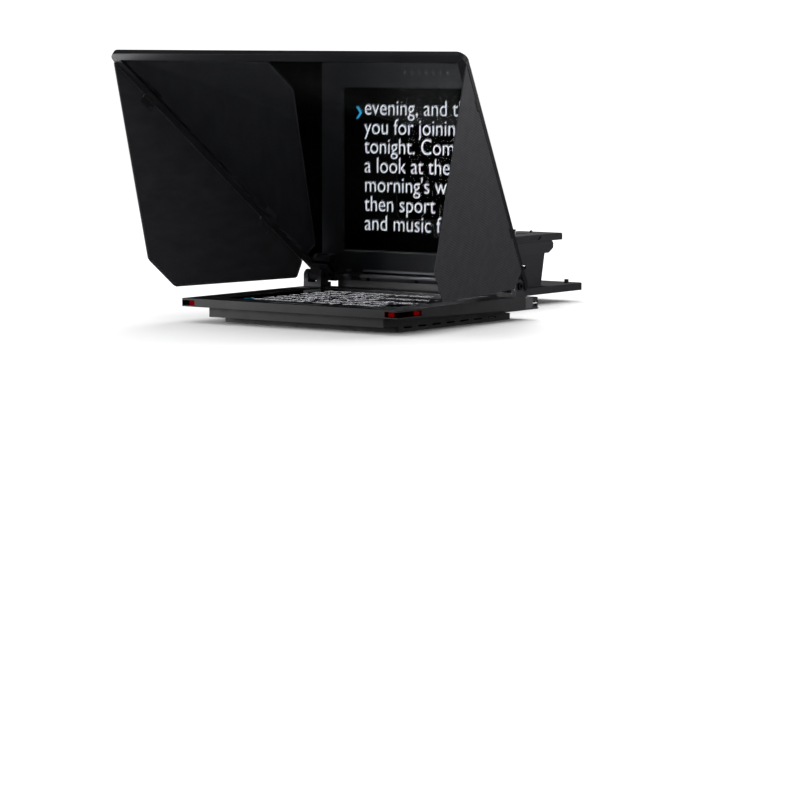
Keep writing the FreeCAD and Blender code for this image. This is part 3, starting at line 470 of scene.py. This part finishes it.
def frame_matrix(origin, x_axis, y_axis):
    z_axis = x_axis.cross(y_axis).normalized()
    turn = Matrix((x_axis.normalized(), y_axis.normalized(), z_axis)).transposed()
    return Matrix.Translation(origin) @ turn.to_4x4()


# ---- softened edges on the carried-over metalwork ---------------------------------------------

def soften(names, width):
    """Breaks the sharp edges of CAD nodes by modifiers, as a deburred edge on real metalwork."""
    for name in names:
        node = nodes[name]
        weld = node.modifiers.new("joined", "WELD")
        weld.merge_threshold = 0.000002
        edge = node.modifiers.new("broken_edges", "BEVEL")
        edge.width = width
        edge.segments = 2
        edge.limit_method = "ANGLE"
        edge.angle_limit = math.radians(38)
        edge.use_clamp_overlap = True
        even = node.modifiers.new("even_shading", "WEIGHTED_NORMAL")
        even.keep_sharp = False
        even.weight = 60


soften(["electronics_housing", "monitor_case", "base_tray", "rear_plate", "riser_head", "camera_plate",
        "mount_block"], 0.0005)
soften(["right_rail", "bottom_rail", "left_rail", "top_rail"], 0.0004)

# ---- prompt text on the screen ----------------------------------------------------------------

text_left = -0.1435
first_line = 0.0958
line_pitch = 0.0356
letter_rise = 0.0277
text_narrowing = 0.924
print_lift, print_thickness = 0.2, 0.4      # shares of the gap between panel and cover glass
marker_at = (-0.162, 0.092)
font_thinning = -0.011
weld_distance = 1e-6
prompt_lines = ["evening, and thank", "you for joining us", "tonight. Coming up:", "a look at the",
                "morning's weather,", "then sport", "and music from"]
layer_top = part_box("lcd_panel")[1].z
layer_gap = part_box("screen_cover_glass")[0].z - layer_top


def text_mesh(words):
    """Mesh of one line of text, one unit of size high, lying in XY."""
    curve = bpy.data.curves.new("line", "FONT")
    curve.body = words
    curve.resolution_u = 5
    curve.offset = font_thinning
    holder = bpy.data.objects.new("line", curve)
    bpy.context.scene.collection.objects.link(holder)
    bpy.context.view_layer.update()
    depsgraph = bpy.context.evaluated_depsgraph_get()
    mesh = bpy.data.meshes.new_from_object(holder.evaluated_get(depsgraph))
    bpy.data.objects.remove(holder)
    bpy.data.curves.remove(curve)
    return mesh


def prompt_text():
    """Mirror-written text, right way round in the glass. Its top is at the reader's side."""
    tall = text_mesh("l")
    size = letter_rise / max(v.co.y for v in tall.vertices)
    bm = bmesh.new()
    for number, words in enumerate(prompt_lines):
        line = text_mesh(words)
        start = len(bm.verts)
        bm.from_mesh(line)
        bm.verts.ensure_lookup_table()
        base = on_monitor(text_left, first_line + number * line_pitch, 0)
        for vert in bm.verts[start:]:
            x, y = vert.co.x * size * text_narrowing, vert.co.y * size
            vert.co = Vector((base.x + x, base.y - y, layer_top + layer_gap * print_lift))
    bmesh.ops.remove_doubles(bm, verts=bm.verts, dist=weld_distance)
    bmesh.ops.triangulate(bm, faces=bm.faces)
    sides = bmesh.ops.extrude_face_region(bm, geom=bm.faces[:])
    for item in sides["geom"]:
        if isinstance(item, bmesh.types.BMVert):
            item.co.z += layer_gap * print_thickness
    return bm


def cue_marker():
    """Chevron that marks the line to read."""
    bm = bmesh.new()
    place = on_monitor(*marker_at, 0)
    place.z = layer_top + layer_gap * print_lift
    outline = [(0.0, -0.0112), (0.0052, -0.0112), (0.0142, 0.0), (0.0052, 0.0112), (0.0, 0.0112),
               (0.0085, 0.0)]
    add_prism(bm, outline, Matrix.Translation(place), layer_gap * print_thickness)
    return bm


lit_text = glow("lit_text", (0.95, 0.97, 1.0), 1.3)
lit_marker = glow("lit_marker", (0.03, 0.36, 0.62), 1.3)
piece("prompt_text", prompt_text(), "base", "lcd", False, lit_text)
piece("cue_marker", cue_marker(), "base", "lcd", False, lit_marker)

# ---- printed symbols on the menu buttons ------------------------------------------------------

symbol_thickness = 0.00006
stroke = 0.00042
symbol_reach = 0.0014
menu_row = 0.001
print_white = moulded("printed_symbol", (0.42, 0.43, 0.45), 0.55, 3000.0)


def bar(bm, matrix, x0, x1, y0, y1):
    add_prism(bm, [(x0, y0), (x1, y0), (x1, y1), (x0, y1)], matrix, symbol_thickness)


def chevron(bm, matrix, way):
    reach = symbol_reach
    outline = [(-0.0008, -reach), (-0.0002, -reach), (0.0009, 0.0), (-0.0002, reach),
               (-0.0008, reach), (0.0003, 0.0)]
    add_prism(bm, [(x * way, y) for x, y in outline[::way]], matrix, symbol_thickness)


def symbol(number):
    """Plain marks: on, left, minus, ring, plus, right and menu."""
    bm = bmesh.new()
    low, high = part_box("menu_button_%d" % number)
    top = Vector(((low.x + high.x) / 2, (low.y + high.y) / 2, high.z))
    matrix = Matrix.Translation(top)
    reach = symbol_reach
    if number == 1:
        add_ring(bm, reach - stroke, reach, matrix, symbol_thickness, math.radians(125),
                 math.radians(290))
        bar(bm, matrix, -stroke / 2, stroke / 2, 0.0002, 0.0019)
    elif number in (2, 6):
        chevron(bm, matrix, -1 if number == 2 else 1)
    elif number == 3:
        bar(bm, matrix, -reach, reach, -stroke / 2, stroke / 2)
    elif number == 4:
        add_ring(bm, reach - stroke, reach, matrix, symbol_thickness)
    elif number == 5:
        bar(bm, matrix, -reach, reach, -stroke / 2, stroke / 2)
        bar(bm, matrix, -stroke / 2, stroke / 2, stroke / 2, reach)
        bar(bm, matrix, -stroke / 2, stroke / 2, -reach, -stroke / 2)
    else:
        for row in (-1, 0, 1):
            middle = row * menu_row
            bar(bm, matrix, -reach, reach, middle - stroke / 2, middle + stroke / 2)
    return bm


for number in range(1, 8):
    piece("button_symbol_%d" % number, symbol(number), "menu_button_%d" % number, "button_grey",
          False, print_white)

# ---- wing hinges: screws ----------------------------------------------------------------------

hinge_places = (0.100, 0.435)      # along the wing, from its top
leaf_screw_offset = 0.0088
leaf_reach = 0.0095               # screws from the hinge axis, out along the wing
leaf_face = 0.00038               # and up to the leaf's surface
leaf_screw = (0.0024, 0.0011)     # head's radius and height
plate_screw_offset = leaf_screw_offset - 0.0058   # clear of the leaf screws when folded
plate_reach = 0.0078
plate_drop = 0.0018
plate_screw = (0.0022, 0.0010)
wing_open = math.radians(89.4)


def mirrored(bm):
    for vert in bm.verts:
        vert.co.x = -vert.co.x
    bmesh.ops.reverse_faces(bm, faces=bm.faces)
    return bm


def leaf_screws():
    """Screws of the right wing's hinge leaves, on its inner face."""
    out = off_glass * math.sin(wing_open) + wing_inward * math.cos(wing_open)
    inner = wing_down.cross(out)
    if inner.x > 0:
        inner = -inner
    bm = bmesh.new()
    for place in hinge_places:
        for shift in (-leaf_screw_offset, leaf_screw_offset):
            origin = wing_hinge + wing_down * (place + shift) + out * leaf_reach + inner * leaf_face
            side = wing_down if wing_down.cross(out).dot(inner) > 0 else -wing_down
            add_screw(bm, frame_matrix(origin, side, out), *leaf_screw)
    return bm


def plate_screws():
    """Screws that hold the fixed hinge halves on the right rail, between those of the leaves."""
    bm = bmesh.new()
    for place in hinge_places:
        for shift in (-plate_screw_offset, plate_screw_offset):
            origin = (wing_hinge + wing_down * (place + shift) + wing_inward * plate_reach
                      - off_glass * plate_drop)
            side = wing_down if wing_down.cross(wing_inward).dot(off_glass) > 0 else -wing_down
            add_screw(bm, frame_matrix(origin, side, wing_inward), *plate_screw)
    return bm


piece("leaf_screws_right", leaf_screws(), "right_wing", "hinge_black")
piece("leaf_screws_left", mirrored(leaf_screws()), "left_wing", "hinge_black")
piece("plate_screws_right", plate_screws(), "hood", "hinge_black")
piece("plate_screws_left", mirrored(plate_screws()), "hood", "hinge_black")

# ---- foam seals between the side rails and the wings ------------------------------------------

seal_width = 0.0034
seal_thickness = 0.0009
seal_lip = 0.0026                 # rail's front face, behind the hinge axis
seal_stretches = ((0.003, 0.0855), (0.1145, 0.4205), (0.4495, 0.540))    # between the hinges
seal_steps = 24


def wing_seal():
    """Strips of foam stuck on the right rail, under the hinge edge of its wing."""
    bm = bmesh.new()
    for start, end in seal_stretches:
        rows = []
        for k in range(seal_steps + 1):
            along = wing_down * (start + (end - start) * k / seal_steps)
            origin = wing_hinge + along - off_glass * seal_lip
            full = seal_thickness * (1 + 0.05 * noise.noise(origin * 60))
            section = [(0.0003, 0), (-seal_width, 0), (-seal_width, full * 0.8),
                       (-seal_width * 0.75, full), (-0.0004, full), (0.0003, seal_thickness * 0.7)]
            rows.append([bm.verts.new(origin + wing_inward * t + off_glass * h) for t, h in section])
        for one, two in zip(rows, rows[1:]):
            for k in range(len(one)):
                m = (k + 1) % len(one)
                bm.faces.new((one[k], one[m], two[m], two[k]))
        bm.faces.new(rows[0])
        bm.faces.new(list(reversed(rows[-1])))
    return bm


foam = moulded("seal_foam", (0.014, 0.014, 0.016), 0.8, 900.0)
piece("wing_seal_right", wing_seal(), "hood", "hinge_black", True, foam)
piece("wing_seal_left", mirrored(wing_seal()), "hood", "hinge_black", True, foam)

# ---- flock linings ----------------------------------------------------------------------------

ripple = 0.00012
lining_cell = 0.016


def lining(side, body):
    """Cut sheet of flock on the inside of a wing, glued down with faint ripples."""
    name = "wing_lining_" + side
    bm = bmesh.new()
    bm.from_mesh(nodes[name].data)
    bmesh.ops.remove_doubles(bm, verts=bm.verts, dist=weld_distance)
    bmesh.ops.dissolve_limit(bm, angle_limit=math.radians(1), verts=bm.verts, edges=bm.edges)
    flat_area = max(face.calc_area() for face in bm.faces)
    bmesh.ops.triangulate(bm, faces=bm.faces)
    for _ in range(3):
        long_edges = [edge for edge in bm.edges if edge.calc_length() > lining_cell]
        bmesh.ops.subdivide_edges(bm, edges=long_edges, cuts=1, use_grid_fill=False)
        bmesh.ops.triangulate(bm, faces=bm.faces)
    bm.normal_update()
    for vert in bm.verts:
        wave = noise.noise(vert.co * 24.0) + 0.5 * noise.noise(vert.co * 71.0)
        vert.co += vert.normal * ripple * min(0.0, wave)
    made = piece("flock_" + side, bm, body, "wing_flock", False)
    made.data.shade_flat()
    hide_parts(name)


lining("right", "right_wing")
lining("left", "left_wing")

# ---- rear shroud --------------------------------------------------------------------------------

shroud_low, shroud_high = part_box("rear_shroud")
hem_low, hem_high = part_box("shroud_hem")
frame_rear = 0.0258               # rear of the frame, behind the hinge line
frame_corner, lens_corner = 0.014, 0.020
corner_steps = 8
hem_overlap = 0.004               # how far the cloth runs into its hem
hem_inset, hem_radius = 0.0045, 0.0034
hem_steps, hem_ripples, hem_swell = 240, 60, 0.09
cloth_thickness = 0.0009
gather_height, gather_count, gather_end = 0.0026, 34, 0.025
fold_height, crumple_height = 0.0030, 0.0030
sag_top, sag_all = 0.010, 0.004
ring_steps = 168
length_steps = 44
weave_round, weave_deep = 2.4, 0.45     # cloth round the frame, and from frame to lens
random.seed(11)
gather_phase = [random.uniform(0, math.tau) for _ in range(6)]


def rounded_corners(corners, radius, count):
    """Points spread evenly round a convex outline whose corners are rounded."""
    path = []
    size = len(corners)
    for i, corner in enumerate(corners):
        back = (corners[i - 1] - corner).normalized()
        ahead = (corners[(i + 1) % size] - corner).normalized()
        bend = math.acos(max(-1.0, min(1.0, back.dot(ahead))))
        reach = radius / math.tan(bend / 2)
        for k in range(corner_steps + 1):
            t = k / corner_steps
            start, end = corner + back * reach, corner + ahead * reach
            path.append((1 - t) ** 2 * start + 2 * t * (1 - t) * corner + t ** 2 * end)
    lengths = [0.0]
    for i in range(len(path)):
        lengths.append(lengths[-1] + (path[(i + 1) % len(path)] - path[i]).length)
    points = []
    for k in range(count):
        goal = lengths[-1] * k / count
        i = max(n for n, reach in enumerate(lengths[:-1]) if reach <= goal)
        share = (goal - lengths[i]) / max(lengths[i + 1] - lengths[i], 1e-9)
        points.append(path[i].lerp(path[(i + 1) % len(path)], share))
    return points


def frame_ring():
    """Corners of the cloth on the rear of the hood's frame: top right, bottom right and so on."""
    taper = abs(wing_down.x) / math.hypot(wing_down.y, wing_down.z)
    top, bottom = [(z - hood_pivot.z) / slope - frame_rear for z in (shroud_high.z, shroud_low.z)]
    corners = []
    for side, v in ((1, top), (1, bottom), (-1, bottom), (-1, top)):
        half = shroud_high.x - taper * (top - v)
        corners.append(hood_pivot + up_glass * v - off_glass * frame_rear + Vector((side * half, 0, 0)))
    return corners


def lens_ring():
    """Corners of the opening round the lens, inside the hem."""
    y = hem_low.y + hem_overlap
    x = hem_high.x - hem_inset
    low, high = hem_low.z + hem_inset, hem_high.z - hem_inset
    return [Vector((x, y, high)), Vector((x, y, low)), Vector((-x, y, low)), Vector((-x, y, high))]


near_ring = rounded_corners(frame_ring(), frame_corner, ring_steps)
far_ring = rounded_corners(lens_ring(), lens_corner, ring_steps)
near_centre = sum(near_ring, Vector()) / ring_steps
far_centre = sum(far_ring, Vector()) / ring_steps


def cloth_place(i, s):
    """Point of the shroud: i goes round it, s from the frame (0) to the lens (1)."""
    i %= ring_steps
    base = near_ring[i].lerp(far_ring[i], s)
    centre = near_centre.lerp(far_centre, s)
    outward = (base - centre).normalized()
    turn = math.tau * i / ring_steps
    slack = max(0.0, math.sin(math.pi * s)) ** 0.9
    sag = -sag_top * slack * max(0.0, outward.z) - sag_all * slack
    pull = s ** 5 * min(1.0, (1 - s) / gather_end)
    uneven = turn * gather_count + gather_phase[0] + 0.6 * math.sin(turn * 5)
    gather = gather_height * pull * math.cos(uneven)
    wide_fold = math.sin(turn * 7 + gather_phase[1] + 2.2 * s)
    small_fold = 0.6 * math.sin(turn * 13 + gather_phase[2] - 3.1 * s)
    fold = fold_height * slack * (wide_fold + small_fold)
    crumple = crumple_height * slack * noise.noise(base * 11.0)
    shift = min(0.0, sag + fold * 0.8 + gather - abs(gather) * 0.4 + crumple)
    return base + outward * shift


def shroud():
    """Cloth cone from the frame to the lens, with gathers at the lens."""
    bm = bmesh.new()
    layer = bm.loops.layers.uv.new(cloth_layer)
    wide = weave_round / ring_steps
    tall = weave_deep / length_steps
    rows = []
    for step in range(length_steps + 1):
        s = step / length_steps
        rows.append([bm.verts.new(cloth_place(i, s)) for i in range(ring_steps)])
    for step in range(length_steps):
        for i in range(ring_steps):
            j = (i + 1) % ring_steps
            face = bm.faces.new((rows[step][i], rows[step][j], rows[step + 1][j], rows[step + 1][i]))
            places = [(i * wide, step * tall), ((i + 1) * wide, step * tall),
                      ((i + 1) * wide, (step + 1) * tall), (i * wide, (step + 1) * tall)]
            for loop, place in zip(face.loops, places):
                loop[layer].uv = place
    return bm


def tube_along(points, radius, wobble, ripples, sides=10):
    """Closed tube round a closed line of points, swelling a little at each ripple."""
    bm = bmesh.new()
    layer = bm.loops.layers.uv.new(cloth_layer)
    wide, tall = 0.0025, 0.0022
    count = len(points)
    rings = []
    for i, point in enumerate(points):
        along = (points[(i + 1) % count] - points[i - 1]).normalized()
        side = along.cross(Vector((0, 1, 0))).normalized()
        other = along.cross(side)
        swell = radius * (1 + wobble * math.sin(math.tau * ripples * i / count))
        ring = []
        for k in range(sides):
            turn = math.tau * k / sides
            ring.append(bm.verts.new(point + (side * math.cos(turn) + other * math.sin(turn)) * swell))
        rings.append(ring)
    for i in range(count):
        for k in range(sides):
            j, m = (i + 1) % count, (k + 1) % sides
            face = bm.faces.new((rings[i][k], rings[j][k], rings[j][m], rings[i][m]))
            places = [(i * wide, k * tall), ((i + 1) * wide, k * tall),
                      ((i + 1) * wide, (k + 1) * tall), (i * wide, (k + 1) * tall)]
            for loop, place in zip(face.loops, places):
                loop[layer].uv = place
    return bm


hem_rows = (0.93, 0.955)
seam_columns = (3, 45, 87, 129)
seam_step, seam_reach = 1 / 110, 0.012
stitch_half_width, stitch_thickness = 0.00035, 0.0004


def stitch(bm, start, end, outward):
    """Adds one stitch, a short flat thread standing just off the cloth."""
    way = end - start
    half = way.length * 0.33
    middle = (start + end) / 2 + outward * stitch_thickness
    matrix = frame_matrix(middle, way.normalized(), outward.cross(way).normalized())
    wide = stitch_half_width
    outline = [(-half, -wide), (half, -wide), (half, wide), (-half, wide)]
    add_prism(bm, outline, matrix, stitch_thickness)


def stitches():
    """Two rows of stitches round the hem and one down each corner seam."""
    bm = bmesh.new()
    ends = [(i, s, i + 1, s) for s in hem_rows for i in range(ring_steps)]
    for column in seam_columns:
        for step in range(2, 100, 2):
            s = step * seam_step
            ends.append((column, s, column, s + seam_reach))
    for i, s, j, t in ends:
        here = cloth_place(i, s)
        outward = (here - near_centre.lerp(far_centre, s)).normalized()
        stitch(bm, here, cloth_place(j, t), outward)
    return bm


def thicken(target, thickness):
    """Gives a sheet its thickness in its own mesh."""
    wall = target.modifiers.new("cloth_thickness", "SOLIDIFY")
    wall.thickness = thickness
    wall.offset = -1.0
    depsgraph = bpy.context.evaluated_depsgraph_get()
    target.data = bpy.data.meshes.new_from_object(target.evaluated_get(depsgraph))
    target.modifiers.clear()


shroud_piece = piece("lens_shroud", shroud(), "hood", "shroud_cloth")
thicken(shroud_piece, cloth_thickness)
hem_line = rounded_corners(lens_ring(), lens_corner, hem_steps)
hem_tube = tube_along(hem_line, hem_radius, hem_swell, hem_ripples)
hem_piece = piece("lens_hem", hem_tube, "hood", "shroud_elastic")
thread = moulded("sewing_thread", (0.030, 0.030, 0.033), 0.7, 4000.0)
stitch_piece = piece("shroud_stitching", stitches(), "hood", "shroud_cloth", False, thread)
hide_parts("rear_shroud")
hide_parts("shroud_hem")

for soft in (shroud_piece, hem_piece, stitch_piece):
    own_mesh(soft)

# ---- stage --------------------------------------------------------------------------------------

floor_half = 30.0
world_strength = 1.14
lens_length, sensor = 156.43, 36.0
camera_place = (3.7121, -5.3299, 0.5297)
camera_azimuth, camera_pitch = math.radians(36.033), math.radians(6.168)
middle = (0.0, -0.25, 0.2)
# name, place, target, width, height, power in watts
softboxes = [
    ("left_front", (-0.85, -1.30, 0.22), (-0.2, -0.56, 0.1), 0.34, 0.34, 4.2),
    ("left_low", (-0.78, -0.56, 0.07), (-0.3, -0.57, 0.45), 0.22, 0.12, 0.6),
    ("right_low", (1.0, 0.95, 0.25), (0.3, -0.4, 0.25), 0.5, 0.4, 1),
    ("right_high", (1.5, 0.6, 1.30), (0.38, -0.5, 0.45), 0.5, 0.5, 9),
    ("overhead", (-0.2, -0.2, 2.4), middle, 1.2, 1.2, 4),
    ("rear_left", (-1.6, 1.9, 2.3), middle, 1.2, 1.2, 24),
]


def floor():
    """Plain pale floor, left out of reflections."""
    mesh = bpy.data.meshes.new("floor")
    corners = [(x * floor_half, y * floor_half, cad_low.z) for x, y in ((-1, -1), (1, -1), (1, 1), (-1, 1))]
    mesh.from_pydata(corners, [], [(0, 1, 2, 3)])
    made = bpy.data.objects.new("floor", mesh)
    bpy.context.scene.collection.objects.link(made)
    finish = Finish("pale_floor", (0.88, 0.88, 0.88), 0.9)
    finish.set("Specular IOR Level", 0.0)
    finish.tint(finish.spread(finish.noise(3.0, 3.0), 0, 1), 1.02)
    mesh.materials.append(finish.material)
    made.visible_glossy = False
    made.visible_transmission = False


def softbox(name, place, target, width, height, power):
    data = bpy.data.lights.new(name, "AREA")
    data.shape = "RECTANGLE"
    data.size = width
    data.size_y = height
    data.energy = power
    lamp = bpy.data.objects.new(name, data)
    lamp.location = place
    lamp.rotation_euler = (Vector(target) - Vector(place)).to_track_quat("-Z", "Y").to_euler()
    lamp.visible_camera = False
    bpy.context.scene.collection.objects.link(lamp)


def studio():
    """White surroundings, seen by the camera and not in reflections, and soft lamps."""
    world = bpy.data.worlds.new("studio")
    world.use_nodes = True
    background = world.node_tree.nodes["Background"]
    background.inputs["Color"].default_value = (1, 1, 1, 1)
    background.inputs["Strength"].default_value = world_strength
    world.cycles_visibility.glossy = False
    world.cycles_visibility.transmission = False
    bpy.context.scene.world = world
    for lamp in softboxes:
        softbox(*lamp)


def camera():
    """Three-quarter view from the reader's right, a little above the monitor."""
    data = bpy.data.cameras.new("camera")
    data.sensor_width = sensor
    data.lens = lens_length
    data.clip_start = 0.1
    data.clip_end = 100.0
    made = bpy.data.objects.new("camera", data)
    made.location = camera_place
    made.rotation_euler = (math.pi / 2 - camera_pitch, 0, camera_azimuth)
    bpy.context.scene.collection.objects.link(made)
    bpy.context.scene.camera = made


floor()
studio()
camera()
bpy.context.scene.view_settings.view_transform = "Standard"
